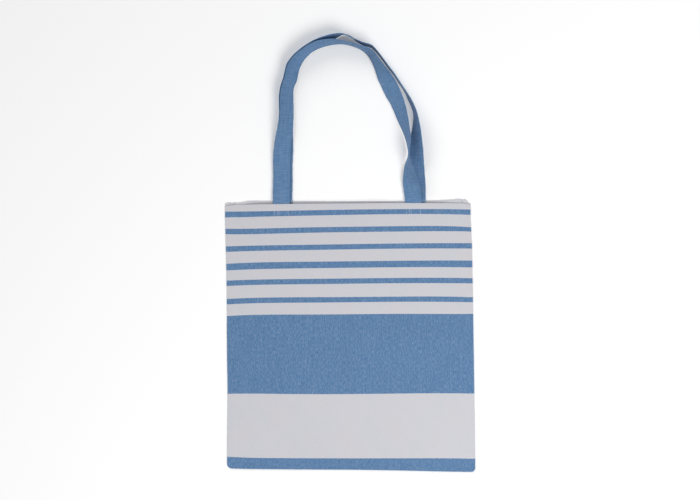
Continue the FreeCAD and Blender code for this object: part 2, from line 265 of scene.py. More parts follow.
CREASES = [((-183, 167), (-172, 181), 3.0, -0.85), ((-149, 142), (-137, 157), 3.0, -0.75),
           ((-184, 179), (-141, 145), 4.0, -1.15), ((-186, 168), (-160, 152), 3.4, 0.45), ((-160, 186), (-132, 168), 3.0, -0.45), ((-178, 152), (-146, 134), 3.4, -0.45),
           ((-3, -108), (62, -168), 4.2, -0.20), ((22, -96), (88, -150), 5.0, 0.12), ((-96, 120), (-60, 108), 4.0, -0.12),
           ((-150, 60), (-120, 96), 5.0, -0.16), ((-174, -110), (-150, -175), 4.0, -0.18), ((128, 100), (160, 118), 5.0, 0.12)]


def face_z(x, y):
    """Middle of the front panel's cloth."""
    x, y = np.asarray(x, float), np.asarray(y, float)
    xl, xr = left_x(y) + 1.2, right_x(y) - 1.2
    s = np.clip(2 * (x - xl) / (xr - xl) - 1, -1, 1)
    t = np.clip((y - bottom_y(x) - 1.2) / 115.0, 0, 1)
    belly = CROWN * (1 - np.abs(s) ** 2.4)
    mouth = 5.3 * (1 - np.abs(s) ** 4.0)
    m = smoothstep(60.0, 200.0, y)
    z = LIP_FRONT + (belly * (1 - m) + mouth * m) * (1 - (1 - t) ** 2.4)
    inset = inset_of(x, y)
    soft = smoothstep(3.0, 26.0, inset)
    # seam allowance under the cloth: a slight ridge ending in a faint step
    z = z + 0.32 * smoothstep(1.5, 4.0, inset) * (1 - smoothstep(11.5, 14.5, inset))
    z = z + undulate(x, y) * soft
    # the fold line down the middle
    wob = 1.6 * np.sin(y * 0.021 + 0.6)
    z = z + 0.20 * bump(x + 2.0 - wob, 3.6) * smoothstep(-203, -150, y)
    for a, b, w, h in CREASES:
        d, t = seg_dist(x, y, a, b)
        z = z + h * bump(d, w) * np.sin(np.pi * np.clip(0.12 + 0.76 * t, 0, 1)) * soft
    # hem: stitched line and the slight fullness above it
    d = front_mouth_y(x) - y
    z = z - 0.16 * bump(d - HEM + 0.8, 0.9) * soft + 0.10 * bump(d - 11, 6.5) * soft
    z = z + 0.10 * np.sin(x * 0.42 + 2 * np.sin(x * 0.05)) * bump(d - HEM - 2.5, 3.5) * soft
    # straps sewn on behind: a low block with stitch grooves and puckers below it
    for c in FRONT_TAILS:
        ex = smoothstep(-1.5, 1.5, STRAP_W / 2 - np.abs(x - c))
        ey = smoothstep(-1.2, 1.2, 21.5 - d)
        z = z + 0.38 * ex * ey * smoothstep(-0.5, 3.0, d)
        inbox = smoothstep(-0.8, 0.8, d - 1.8) * smoothstep(-0.8, 0.8, 25.2 - d)
        for gx in (-10.0, -5.8, -3.2, 11.4):
            z = z - 0.13 * bump(x - c - gx, 0.9) * inbox
        wide = smoothstep(-0.8, 0.8, x - c + 10.6) * smoothstep(-0.8, 0.8, c + 12 - x)
        for gd in (2.0, 24.6):
            z = z - 0.13 * bump(d - gd, 0.9) * wide
        z = z - 0.34 * bump(x - c - 9.5, 4.5) * bump(d - 29.0, 4.0) + 0.22 * bump(x - c - 2.0, 4.0) * bump(d - 30.5, 5.0)
        z = z - 0.16 * bump(x - c + 11.0, 3.5) * bump(d - 28.0, 5.0)
    return z


# ---------------------------------------------------------------- making meshes
def make_object(name, verts, faces, uv=None, flat=None):
    """A mesh object from millimetres. flat lists the faces of a cut edge, whose borders stay sharp."""
    me = bpy.data.meshes.new(name)
    me.from_pydata((np.asarray(verts, float) * 0.001).tolist(), [], [tuple(int(i) for i in f) for f in faces])
    smooth = np.ones(len(me.polygons), bool)
    if flat is not None:
        smooth[flat] = False
        keys = {tuple(sorted(e)): i for i, e in enumerate(me.edge_keys)}
        hard = np.zeros(len(me.edges), bool)
        for f in flat:
            q = faces[f]
            for k in range(len(q)):
                hard[keys[tuple(sorted((int(q[k]), int(q[(k + 1) % len(q)]))))]] = True
        me.edges.foreach_set("use_edge_sharp", hard)
    me.polygons.foreach_set("use_smooth", smooth)
    if uv is not None:
        layer = me.uv_layers.new(name="cloth")
        idx = np.empty(len(me.loops), np.int32)
        me.loops.foreach_get("vertex_index", idx)
        layer.data.foreach_set("uv", (np.asarray(uv, float) * 0.001)[idx].astype(np.float32).ravel())
    me.update()
    me.validate()
    ob = bpy.data.objects.new(name, me)
    bpy.context.scene.collection.objects.link(ob)
    return ob


def thicken(name, verts, quads, uv, thickness):
    """A closed sheet of cloth about a middle surface of quads."""
    P = np.asarray(verts, float)
    Q = np.asarray(quads, int)
    n = np.zeros_like(P)
    fn = np.cross(P[Q[:, 2]] - P[Q[:, 0]], P[Q[:, 3]] - P[Q[:, 1]])
    for k in range(4):
        np.add.at(n, Q[:, k], fn)
    n /= np.maximum(np.linalg.norm(n, axis=1), 1e-9)[:, None]
    h = thickness / 2
    top, bot = P + n * h, P - n * h
    N = len(P)
    seen = {}
    for q in Q.tolist():
        for k in range(4):
            seen[(q[k], q[(k + 1) % 4])] = True
    faces = [tuple(q) for q in Q.tolist()] + [tuple(i + N for i in reversed(q)) for q in Q.tolist()]
    rim0 = len(faces)
    for (a, b) in list(seen):
        if (b, a) not in seen:
            faces.append((b, a, a + N, b + N))
    flat = np.arange(rim0, len(faces))
    UV = np.vstack([uv, uv])
    return make_object(name, np.vstack([top, bot]), faces, UV, flat)


def spaced(total, coarse, near=(1.2, 2.2, 3.4, 5.0, 7.0, 9.2, 11.4, 12.8, 14.2, 16.2, 18.6)):
    """Distances in from an edge, close together by the seam."""
    near = list(near)
    n = max(1, int(round((total - near[-1]) / coarse)))
    return near + [near[-1] + (total - near[-1]) * k / n for k in range(1, n + 1)]


CORNER = 6.4


def panel_grid(xs_in, ys_up, xl, xr, yb, yt, corners):
    """A grid of points between four edge curves. xs_in: fractions across; ys_up: distances up from the bottom edge,
    the last few measured down from the mouth. corners: which bottom corners are rounded."""
    rows = []
    for fy in ys_up:
        x0 = -190 + 380 * np.asarray(xs_in)
        y = yb(x0) + (yt(x0) - yb(x0)) * fy
        l, r = xl(y), xr(y)
        x = l + (r - l) * np.asarray(xs_in)
        y = yb(x) + (yt(x) - yb(x)) * fy
        rows.append(np.stack([x, y], 1))
    G = np.array(rows)
    R = CORNER - 1.2
    for side in corners:
        x, y = G[..., 0], G[..., 1]
        edge = xl(y) + 1.2 if side < 0 else xr(y) - 1.2
        a = (x - edge) if side < 0 else (edge - x)          # in from the side
        b = y - (yb(x) + 1.2)                               # up from the bottom
        m = (a < R) & (b < R)
        da, db = np.maximum(R - a, 0), np.maximum(R - b, 0)
        h = np.maximum(np.hypot(da, db), 1e-9)
        f = np.maximum(da, db) / h
        na, nb = R - da * f, R - db * f
        G[..., 0] = np.where(m, x + (na - a) * (1 if side < 0 else -1), x)
        G[..., 1] = np.where(m, y + (nb - b), y)
    return G


def cloth_panel(name, fr, rows_frac, z_of, yt, rim, corners, hem_dir, hem_cols):
    """One panel: face grid, rounded lip and seam allowance round the seams, folded hem at the mouth."""
    G = panel_grid(fr, rows_frac, left_x, right_x, bottom_y, yt, corners)
    nr, nc = G.shape[:2]
    X, Y = G[..., 0], G[..., 1]
    Z = z_of(X, Y)
    verts = np.stack([X, Y, Z], -1).reshape(-1, 3).tolist()
    vv = cloth_v(X, Y)
    uvs = np.stack([X, vv], -1).reshape(-1, 2).tolist()
    idx = np.arange(nr * nc).reshape(nr, nc)
    quads = []
    for j in range(nr - 1):
        for i in range(nc - 1):
            quads.append((idx[j, i], idx[j, i + 1], idx[j + 1, i + 1], idx[j + 1, i]))
    # ---- the lip and the allowance, following the perimeter
    has_left, has_right = -1 in corners, 1 in corners
    path = []
    if has_left:
        path += [idx[j, 0] for j in range(nr - 1, 0, -1)]
    path += [idx[0, i] for i in range(nc)]
    if has_right:
        path += [idx[j, nc - 1] for j in range(1, nr)]
    P = np.array([verts[i] for i in path])[:, :2]
    d = np.gradient(P, axis=0)
    d /= np.linalg.norm(d, axis=1)[:, None]
    inward = np.stack([-d[:, 1], d[:, 0]], 1)               # to the left of the path: down the left, along, up the right
    if not has_left:
        inward[0] = (0, 1)
    if not has_right:
        inward[-1] = (0, 1)
    corner_at = []
    if has_left:
        corner_at.append((left_x(-200.0), bottom_y(-188.0)))
    if has_right:
        corner_at.append((right_x(-200.0), bottom_y(188.0)))
    depth = np.ones(len(path))
    for c in corner_at:
        depth = np.minimum(depth, smoothstep(2.0, 26.0, np.hypot(P[:, 0] - c[0], P[:, 1] - c[1])))
    prev = list(path)
    base_uv = np.array([uvs[i] for i in path])
    arc = 0.0
    last = np.array([1.2, rim[0][1]])
    for k, (ins, z) in enumerate(rim):
        inset = np.full(len(path), ins, float)
        if ins > 3:
            inset = 3.0 + (ins - 3.0) * depth
        pos = P + inward * (inset[:, None] - 1.2)
        arc += math.hypot(ins - last[0], z - last[1])
        last = np.array([ins, z])
        cur = []
        for q in range(len(path)):
            cur.append(len(verts))
            verts.append([pos[q, 0], pos[q, 1], z])
            uvs.append([base_uv[q, 0] - inward[q, 0] * arc, base_uv[q, 1] - inward[q, 1] * arc])
        for q in range(len(path) - 1):
            quads.append((prev[q + 1], prev[q], cur[q], cur[q + 1]))
        prev = cur
    # ---- the hem: over the mouth edge, down inside, and the raw edge turned back under
    lo, hi = hem_cols
    cols = list(range(lo, hi))
    top = [idx[nr - 1, i] for i in cols]
    T = np.array([verts[i] for i in top])
    steps = []
    r = LAYER
    for a in (60, 30, 0, -30, -60, -90):
        steps.append((r * math.cos(math.radians(a)), r * math.sin(math.radians(a)) - r, True))
    leg = HEM - 0.45
    for f in (2.5, 5.5, 9, 12.5, 16, 19, leg - 0.3):
        steps.append((-f, -2 * LAYER, False))
    for a in (-120, -150, 180, 150, 120, 90):
        steps.append((-leg + (LAYER / 2) * math.cos(math.radians(a)), -1.5 * LAYER + (LAYER / 2) * math.sin(math.radians(a)), False))
    for f in (leg - 2.5, leg - 5.5, leg - 8.5):
        steps.append((-f, -LAYER, False))
    prev = top
    arc = 0.0
    last = (0.0, 0.0)
    base_uv = np.array([uvs[i] for i in top])
    for (dy, dz, _) in steps:
        y = T[:, 1] + dy
        z = z_of(T[:, 0], np.minimum(y, T[:, 1])) + hem_dir * dz
        arc += math.hypot(dy - last[0], dz - last[1])
        last = (dy, dz)
        cur = []
        for q in range(len(cols)):
            cur.append(len(verts))
            verts.append([T[q, 0], y[q], z[q]])
            uvs.append([base_uv[q, 0], base_uv[q, 1] + arc])
        for q in range(len(cols) - 1):
            quads.append((prev[q], prev[q + 1], cur[q + 1], cur[q]))
        prev = cur
    quads = np.array(quads)
    if hem_dir < 0:
        quads = quads[:, ::-1]
    return thicken(name, np.array(verts), quads, np.array(uvs), CLOTH)


# fractions across and up
W0 = 380.0
ins = np.array(spaced(190.0, 2.6)) / W0
frac_left = ins.copy()                       # from just inside the left seam to the middle
frac_left[-1] = 0.5
frac_right = 1 - frac_left[::-1]
H0 = 410.0
up = np.array(spaced(H0 - 26.0, 2.7)) / H0
rows_frac = np.concatenate([up, 1 - np.array([25.0, 24.0, 23.2, 22.4, 21.6, 20.8, 19.6, 18.0, 16.0, 13.5, 11.0, 8.5, 6.0, 4.2, 3.0, 2.0, 1.2, 0.45]) / H0])

front_rim = [(0.5, 1.60), (0.15, 1.50), (0.0, 1.34), (0.15, 1.19), (0.5, 1.10), (1.4, 1.08), (4.0, 1.08), (8.0, 1.08), (ALLOW, 1.08)]
back_rim = [(0.6, 0.20), (0.15, 0.26), (0.0, 0.43), (0.15, 0.58), (0.5, 0.64), (1.4, 0.65), (4.0, 0.65), (8.0, 0.65), (ALLOW, 0.65)]

nL = len(frac_left)
skip = 5
front_left = cloth_panel("front_cloth_left", frac_left, rows_frac, face_z, front_mouth_y, front_rim, (-1,), 1, (skip, nL))
front_right = cloth_panel("front_cloth_right", frac_right, rows_frac, face_z, front_mouth_y, front_rim, (1,), 1, (0, nL - skip))


def back_z(x, y):
    x = np.asarray(x, float)
    return np.full(np.broadcast(x, y).shape, BACK_Z)


frac_all = np.concatenate([frac_left, frac_right[1:]])
nA = len(frac_all)


skip_b = 8
back_cloth = cloth_panel("back_cloth", frac_all, rows_frac, back_z, back_mouth_y, back_rim, (-1, 1), -1, (skip_b, nA - skip_b))


# ---------------------------------------------------------------- straps
def resample(stations, step):
    S = np.array(stations, float)
    mid = (S[:, :3] + S[:, 3:]) / 2
    s = np.concatenate([[0], np.cumsum(np.linalg.norm(np.diff(mid, axis=0), axis=1))])
    n = int(round(s[-1] / step))
    q = np.linspace(0, s[-1], n + 1)
    m = np.gradient(S, s, axis=0)
    k = np.clip(np.searchsorted(s, q) - 1, 0, len(s) - 2)
    h = (s[k + 1] - s[k])[:, None]
    t = ((q - s[k]) / (s[k + 1] - s[k]))[:, None]
    out = ((2 * t**3 - 3 * t**2 + 1) * S[k] + (t**3 - 2 * t**2 + t) * h * m[k]
           + (-2 * t**3 + 3 * t**2) * S[k + 1] + (t**3 - t**2) * h * m[k + 1])
    a = out[:, 3:] - out[:, :3]
    w = np.linalg.norm(a, axis=1)[:, None]
    c = (out[:, :3] + out[:, 3:]) / 2
    a = a / w
    out = np.hstack([c - a * STRAP_W / 2, c + a * STRAP_W / 2])
    return q, out


def strap_frames(S):
    c = (S[:, :3] + S[:, 3:]) / 2
    t = np.gradient(c, axis=0)
    t /= np.linalg.norm(t, axis=1)[:, None]
    a = S[:, 3:] - S[:, :3]
    a /= np.linalg.norm(a, axis=1)[:, None]
    n = np.cross(a, t)
    n /= np.linalg.norm(n, axis=1)[:, None]
    return c, t, a, n


def strap_section():
    """Across (from -13 to 13) and thickness of the folded strap, going round it."""
    h = STRAP_T / 2
    w = STRAP_W / 2
    us = [-12.3, -11.6, -11.0, -10.5, -10.0, -9.0, -6.0, -3.0, 0.0, 3.0, 6.0, 9.0, 10.0, 10.5, 11.0, 11.6, 12.3]
    top = []
    for u in us:
        z = h
        z -= 0.16 * math.exp(-((abs(u) - 10.6) / 0.55) ** 2)       # stitch groove
        z -= 0.10 * (abs(u) / w) ** 2
        if abs(u) > 12:
            z -= 0.12
        top.append((u, z))
    right = [(12.75, 0.42), (13.0, 0.12)]
    # the strap's open folds meet at one edge: a groove between the two rounded folds
    right += [(12.72, 0.0), (13.0, -0.12), (12.75, -0.42)]
    bottom = [(u, -z) for u, z in reversed(top)]
    left = [(-12.75, -0.45), (-13.0, -0.2), (-13.05, 0.0), (-13.0, 0.2), (-12.75, 0.45)]
    return top + right + bottom + left


SECTION = np.array(strap_section())
_seg = np.linalg.norm(np.diff(np.vstack([SECTION, SECTION[:1]]), axis=0), axis=1)
SECTION_S = np.concatenate([[0], np.cumsum(_seg)])


def strap_mesh(name, S, q, seed):
    c, t, a, n = strap_frames(S)
    K = len(SECTION)
    N = len(c)
    wob = 0.16 * np.sin(q * 0.31 + seed) * np.sin(q * 0.073 + 2 * seed) + 0.10 * np.sin(q * 0.57 + 3 * seed)
    edge = 0.22 * np.sin(q * 0.118 + seed) + 0.12 * np.sin(q * 0.41 + 2.1 * seed)
    u = SECTION[:, 0][None, :] * (1 + 0.0 * q[:, None]) + edge[:, None] * (np.abs(SECTION[:, 0]) / 13)[None, :] ** 4
    pucker = 0.05 * np.sin(q[:, None] * 1.9 + seed) * np.exp(-((np.abs(SECTION[:, 0])[None, :] - 10.6) / 2.0) ** 2)
    lift = SECTION[:, 1][None, :] + wob[:, None] * (1 - (SECTION[:, 0] / 13) ** 2)[None, :] + pucker * np.sign(SECTION[:, 1])[None, :]
    V = c[:, None, :] + a[:, None, :] * u[..., None] + n[:, None, :] * lift[..., None]
    verts = V.reshape(-1, 3)
    faces = []
    for j in range(N - 1):
        for k in range(K):
            m = (k + 1) % K
            faces.append((j * K + k, j * K + m, (j + 1) * K + m, (j + 1) * K + k))
    faces.append(tuple(range(K))[::-1])
    faces.append(tuple((N - 1) * K + k for k in range(K)))
    # a UV per corner, so that the seam of the section doesn't smear
    ob = make_object(name, verts, faces)
    me = ob.data
    layer = me.uv_layers.new(name="cloth")
    uv = np.zeros((len(me.loops), 2), np.float32)
    for p in me.polygons:
        ids = [me.loops[l].vertex_index for l in p.loop_indices]
        if len(ids) > 4:
            for l, i in zip(p.loop_indices, ids):
                uv[l] = (SECTION[i % K, 0], SECTION[i % K, 1])
            continue
        ks = [i % K for i in ids]
        wrap = K - 1 in ks and 0 in ks
        for l, i in zip(p.loop_indices, ids):
            k = i % K
            s = SECTION_S[k] if not (wrap and k == 0) else SECTION_S[K]
            uv[l] = (s, q[i // K])
    layer.data.foreach_set("uv", (uv * 0.001).ravel())
    bm = bmesh.new()
    bm.from_mesh(me)
    bmesh.ops.recalc_face_normals(bm, faces=bm.faces)
    bm.to_mesh(me)
    bm.free()
    for p in me.polygons:
        if len(p.vertices) > 4:
            p.use_smooth = False
    return ob


def front_tail(x, y):
    return float(face_z(x, min(y, 204.0))) - 3 * LAYER / 1.5 - CLOTH / 2 - STRAP_T / 2 - 0.10


def with_tails(stations, tails, y_in, z_tail, ease):
    """Adds the two sewn ends, which run on under the hem, and eases the first stations of the loop to meet them."""
    st = [list(s) for s in stations]
    out = []
    for end, c in ((0, tails[0]), (-1, tails[1])):
        s = st[end]
        xo, xi = s[0], s[3]
        rows = []
        for y in y_in:
            rows.append([xo, y, z_tail(xo, y), xi, y, z_tail(xi, y)])
        out.append(rows)
    body = [list(s) for s in st[1:-1]]
    for k, (zo, zi) in ease[0].items():
        body[k][2], body[k][5] = zo, zi
    for k, (zo, zi) in ease[1].items():
        body[k][2], body[k][5] = zo, zi
    return out[0] + body + out[1][::-1]


fz = lambda x: front_tail(x, 204.0)
F_ST = with_tails(front_strap, FRONT_TAILS, (184.5, 190.0, 196.0, 202.0, 207.0, 212.5), lambda x, y: front_tail(x, y) + (0.0 if y < 206 else -0.15),
                  ({0: (4.4, 4.3), 1: (4.7, 4.2), 2: (5.4, 4.3), 3: (7.1, 4.4)},
                   {-1: (9.6, 4.7), -2: (15.8, 5.6)}))
zb_t = BACK_Z + 2 * LAYER + CLOTH / 2 + STRAP_T / 2 + 0.07


def back_tail(x, y):
    return zb_t - (zb_t - 1.0) * float(smoothstep(208.5, 222.0, y))


B_ST = with_tails(back_strap, BACK_TAILS, (188.0, 193.0, 199.0, 205.0, 210.0, 215.0, 222.0), back_tail, ({}, {}))
# just right of the top of the loop the back strap's lower edge leans in towards the front strap
for st in B_ST:
    k = float(smoothstep(2.0, 9.0, st[0]) * (1 - smoothstep(20.0, 46.0, st[0]))) * (st[1] > 400)
    st[3], st[4] = st[3] + 1.3 * k, st[4] - 5.2 * k
qF, SF = resample(F_ST, 3.0)
qB, SB = resample(B_ST, 3.0)


front_handle = strap_mesh("front_strap", SF, qF, 0.7)
back_handle = strap_mesh("back_strap", SB, qB, 2.3)


# ---------------------------------------------------------------- stitching
def stitch_mesh(name, lines, length=2.9, gap=0.45, radius=0.17, dip=0.22):
    """Real stitches: short rounded lengths of thread lying on the cloth and dipping into it at their ends.
    lines is a list of (points, normals), in mm."""
    verts, faces = [], []
    ring = 6
    for pts, nrm in lines:
        pts, nrm = np.asarray(pts, float), np.asarray(nrm, float)
        s = np.concatenate([[0], np.cumsum(np.linalg.norm(np.diff(pts, axis=0), axis=1))])
        total = s[-1]
        n = max(1, int(round(total / (length + gap))))
        pitch = total / n
        for k in range(n):
            s0 = k * pitch + gap / 2
            s1 = (k + 1) * pitch - gap / 2
            f = np.array([0.0, 0.12, 0.32, 0.5, 0.68, 0.88, 1.0])
            q = s0 + (s1 - s0) * f
            c = np.stack([np.interp(q, s, pts[:, i]) for i in range(3)], 1)
            m = np.stack([np.interp(q, s, nrm[:, i]) for i in range(3)], 1)
            m /= np.linalg.norm(m, axis=1)[:, None]
            t = np.gradient(c, axis=0)
            t /= np.maximum(np.linalg.norm(t, axis=1), 1e-9)[:, None]
            b = np.cross(t, m)
            b /= np.maximum(np.linalg.norm(b, axis=1), 1e-9)[:, None]
            hgt = radius * 0.75 - dip * np.array([1.5, 0.45, 0.05, 0.0, 0.05, 0.45, 1.5])
            rad = radius * np.array([0.55, 0.92, 1.0, 1.04, 1.0, 0.92, 0.55])
            base = len(verts)
            for j in range(7):
                for a in range(ring):
                    ang = 2 * math.pi * a / ring
                    verts.append(c[j] + m[j] * (hgt[j] + rad[j] * math.sin(ang)) + b[j] * rad[j] * 1.1 * math.cos(ang))
            for j in range(6):
                for a in range(ring):
                    e = (a + 1) % ring
                    faces.append((base + j * ring + a, base + j * ring + e, base + (j + 1) * ring + e, base + (j + 1) * ring + a))
            faces.append(tuple(base + a for a in range(ring))[::-1])
            faces.append(tuple(base + 6 * ring + a for a in range(ring)))
    ob = make_object(name, np.array(verts), faces)
    bm = bmesh.new()
    bm.from_mesh(ob.data)
    bmesh.ops.recalc_face_normals(bm, faces=bm.faces)
    bm.to_mesh(ob.data)
    bm.free()
    return ob


def on_face(path, off=CLOTH / 2):
    """A path laid on the front panel's outer face: points and normals."""
    p = np.asarray(path, float)
    e = 0.4
    z = face_z(p[:, 0], p[:, 1])
    zx = (face_z(p[:, 0] + e, p[:, 1]) - face_z(p[:, 0] - e, p[:, 1])) / (2 * e)
    zy = (face_z(p[:, 0], p[:, 1] + e) - face_z(p[:, 0], p[:, 1] - e)) / (2 * e)
    n = np.stack([-zx, -zy, np.ones_like(z)], 1)
    n /= np.linalg.norm(n, axis=1)[:, None]
    return np.column_stack([p, z]) + n * off, n


def dense(a, b, step=1.5):
    n = max(2, int(math.hypot(b[0] - a[0], b[1] - a[1]) / step))
    return [(a[0] + (b[0] - a[0]) * k / n, a[1] + (b[1] - a[1]) * k / n) for k in range(n + 1)]


def strap_lines(S, q, lo, hi):
    """The two rows of topstitching on both faces of a strap, between the distances lo and hi along it."""
    c, t, a, n = strap_frames(S)
    keep = (q >= lo) & (q <= hi)
    out = []
    g = 0.75 - 0.16 - 0.10 * (10.6 / 13) ** 2
    for u in (-10.6, 10.6):
        for side in (1, -1):
            pts = c + a * u + n * side * (g + 0.02)
            out.append((pts[keep], (n * side)[keep]))
    return out


def white_box(name, c, mouth, place, flip=1):
    rows = []
    x0, x1 = c - 10.0 * flip, c + 11.4 * flip
    m = lambda x: float(mouth(np.array([x]))[0])
    top = lambda x: m(x) - 2.0
    low = lambda x: m(x) - 24.6
    loop = dense((x0, top(x0)), (x1, top(x1))) + dense((x1, top(x1)), (x1, low(x1)))[1:] + dense((x1, low(x1)), (x0, low(x0)))[1:] + dense((x0, low(x0)), (x0, top(x0)))[1:]
    rows.append(place(loop))
    for k in (-5.8, -3.2):
        x = c + k * flip
        rows.append(place(dense((x, top(x) - 1.0), (x, low(x) + 0.8))))
    return stitch_mesh(name, rows, length=2.4, gap=0.4, radius=0.17)


def on_back(path):
    """A path laid on the back hem inside the mouth, or on the strap end that lies on it."""
    p = np.asarray(path, float)
    z = np.full(len(p), BACK_Z + 2 * LAYER + CLOTH / 2)
    for c in BACK_TAILS:
        over = (np.abs(p[:, 0] - c) < STRAP_W / 2) & (p[:, 1] > 187.6)
        z = np.where(over, zb_t + STRAP_T / 2 - 0.05, z)
    return np.column_stack([p, z]), np.tile([0, 0, 1.0], (len(p), 1))


boxes_front = [white_box("front_left_box_stitches", FRONT_TAILS[0], front_mouth_y, on_face),
               white_box("front_right_box_stitches", FRONT_TAILS[1], front_mouth_y, on_face)]
boxes_back = [white_box("back_left_box_stitches", BACK_TAILS[0], lambda x: back_mouth_y(x) * 0 + 211.0, on_back),
              white_box("back_right_box_stitches", BACK_TAILS[1], lambda x: back_mouth_y(x) * 0 + 211.0, on_back)]


def hem_path(x0, x1, mouth, depth):
    xs = np.arange(x0, x1 + 0.01, 1.6)
    return [(x, float(y)) for x, y in zip(xs, mouth(xs) - depth)]


hem_front_l = stitch_mesh("front_hem_stitches_left", [on_face(hem_path(-181.0, -0.2, front_mouth_y, HEM - 0.8))])
hem_front_r = stitch_mesh("front_hem_stitches_right", [on_face(hem_path(0.4, 176.5, front_mouth_y, HEM - 0.8))])
segs = []
for x0, x1 in ((-176.0, BACK_TAILS[0] - 14), (BACK_TAILS[0] + 14, BACK_TAILS[1] - 14), (BACK_TAILS[1] + 14, 171.0)):
    segs.append(on_back(hem_path(x0, x1, back_mouth_y, HEM - 0.8)))
hem_back = stitch_mesh("back_hem_stitches", segs)

top_front = stitch_mesh("front_strap_topstitches", strap_lines(SF, qF, 24.0, qF[-1] - 24.0), length=2.7, gap=0.5, radius=0.15)
top_back = stitch_mesh("back_strap_topstitches", strap_lines(SB, qB, 26.0, qB[-1] - 26.0), length=2.7, gap=0.5, radius=0.15)


def seam(name, pts, z, **kw):
    p = np.array(pts, float)
    return stitch_mesh(name, [(np.column_stack([p, np.full(len(p), z)]), np.tile([0, 0, 1.0], (len(p), 1)))], **kw)


ys = np.arange(-190.0, 186.0, 1.6)
seam_left = seam("left_seam_stitches", np.column_stack([left_x(ys) + 2.4, ys]), 1.28, radius=0.13, dip=0.1)
seam_right = seam("right_seam_stitches", np.column_stack([right_x(ys) - 2.4, ys]), 1.28, radius=0.13, dip=0.1)
xs = np.arange(-176.0, 178.0, 1.6)
seam_bottom = seam("bottom_seam_stitches", np.column_stack([xs, bottom_y(xs) + 2.4]), 1.28, radius=0.13, dip=0.1)


def zigzag(pts, inward, lo, hi, pitch=2.2):
    p = np.array(pts, float)
    d = np.gradient(p, axis=0)
    d /= np.linalg.norm(d, axis=1)[:, None]
    n = np.stack([-d[:, 1], d[:, 0]], 1) * inward
    out = []
    for k in range(len(p)):
        out.append(p[k] + n[k] * (lo if k % 2 else hi))
    return np.array(out)


def overlock():
    lines = []
    ysz = np.arange(-178.0, 184.0, 1.3)
    for side in (-1, 1):
        x = left_x(ysz) if side < 0 else right_x(ysz)
        z = zigzag(np.column_stack([x, ysz]), -side * -1 if side > 0 else -1, ALLOW - 4.5, ALLOW - 0.3)
        lines.append(z)
    xsz = np.arange(-164.0, 166.0, 1.3)
    lines.append(zigzag(np.column_stack([xsz, bottom_y(xsz)]), 1, ALLOW - 4.5, ALLOW - 0.3))
    return [(np.column_stack([z, np.full(len(z), 1.29)]), np.tile([0, 0, 1.0], (len(z), 1))) for z in lines]


over = stitch_mesh("overlock_stitches", overlock(), length=3.6, gap=0.25, radius=0.12, dip=0.06)


# ---------------------------------------------------------------- materials
def new_material(name):
    m = bpy.data.materials.new(name)
    m.use_nodes = True
    nt = m.node_tree
    nt.nodes.clear()
    out = nt.nodes.new("ShaderNodeOutputMaterial")
    bsdf = nt.nodes.new("ShaderNodeBsdfPrincipled")
    nt.links.new(bsdf.outputs[0], out.inputs[0])
    return m, nt, bsdf


class G:
    """A little shorthand for node graphs."""

    def __init__(self, nt):
        self.nt = nt

    def put(self, socket, value):
        if isinstance(value, bpy.types.NodeSocket):
            self.nt.links.new(value, socket)
        else:
            socket.default_value = value

    def math(self, op, a, b=0.0, c=0.0, clamp=False):
        n = self.nt.nodes.new("ShaderNodeMath")
        n.operation = op
        n.use_clamp = clamp
        self.put(n.inputs[0], a)
        self.put(n.inputs[1], b)
        self.put(n.inputs[2], c)
        return n.outputs[0]

    def uv(self):
        n = self.nt.nodes.new("ShaderNodeUVMap")
        n.uv_map = "cloth"
        return n.outputs[0]

    def split(self, v):
        n = self.nt.nodes.new("ShaderNodeSeparateXYZ")
        self.put(n.inputs[0], v)
        return n.outputs

    def scaled(self, v, s, shift=(0, 0, 0)):
        n = self.nt.nodes.new("ShaderNodeMapping")
        self.put(n.inputs[0], v)
        n.inputs["Scale"].default_value = s
        n.inputs["Location"].default_value = shift
        return n.outputs[0]

    def noise(self, v, scale, detail=2.0, rough=0.5):
        n = self.nt.nodes.new("ShaderNodeTexNoise")
        n.noise_dimensions = "3D"
        self.put(n.inputs["Vector"], v)
        n.inputs["Scale"].default_value = scale
        n.inputs["Detail"].default_value = detail
        n.inputs["Roughness"].default_value = rough
        return n.outputs[0]

    def band(self, x, lo, hi, a=0.0, b=1.0):
        n = self.nt.nodes.new("ShaderNodeMapRange")
        n.interpolation_type = "SMOOTHSTEP"
        self.put(n.inputs[0], x)
        n.inputs[1].default_value, n.inputs[2].default_value = lo, hi
        n.inputs[3].default_value, n.inputs[4].default_value = a, b
        return n.outputs[0]

    def mix(self, f, a, b, kind="MIX"):
        n = self.nt.nodes.new("ShaderNodeMix")
        n.data_type = "RGBA"
        n.blend_type = kind
        self.put(n.inputs[0], f)
        self.put(n.inputs[6], a)
        self.put(n.inputs[7], b)
        return n.outputs[2]

    def ramp(self, fac, stops, kind="LINEAR"):
        n = self.nt.nodes.new("ShaderNodeValToRGB")
        n.color_ramp.interpolation = kind
        e = n.color_ramp.elements
        while len(e) > 1:
            e.remove(e[-1])
        e[0].position, e[0].color = stops[0][0], (*[stops[0][1]] * 3, 1) if not hasattr(stops[0][1], "__len__") else (*stops[0][1], 1)
        for p, c in stops[1:]:
            x = e.new(p)
            x.color = (c, c, c, 1) if not hasattr(c, "__len__") else (*c, 1)
        self.put(n.inputs[0], fac)
        return n.outputs[0]

    def bump(self, height, strength, distance, normal=None):
        n = self.nt.nodes.new("ShaderNodeBump")
        n.inputs["Strength"].default_value = strength
        n.inputs["Distance"].default_value = distance
        self.put(n.inputs["Height"], height)
        if normal is not None:
            self.put(n.inputs["Normal"], normal)
        return n.outputs[0]

    def shade(self, color, fac):
        """color times a grey factor."""
        n = self.nt.nodes.new("ShaderNodeVectorMath")
        n.operation = "SCALE"
        self.put(n.inputs[0], color)
        self.put(n.inputs[3], fac)
        return n.outputs[0]


YARN = 0.00052


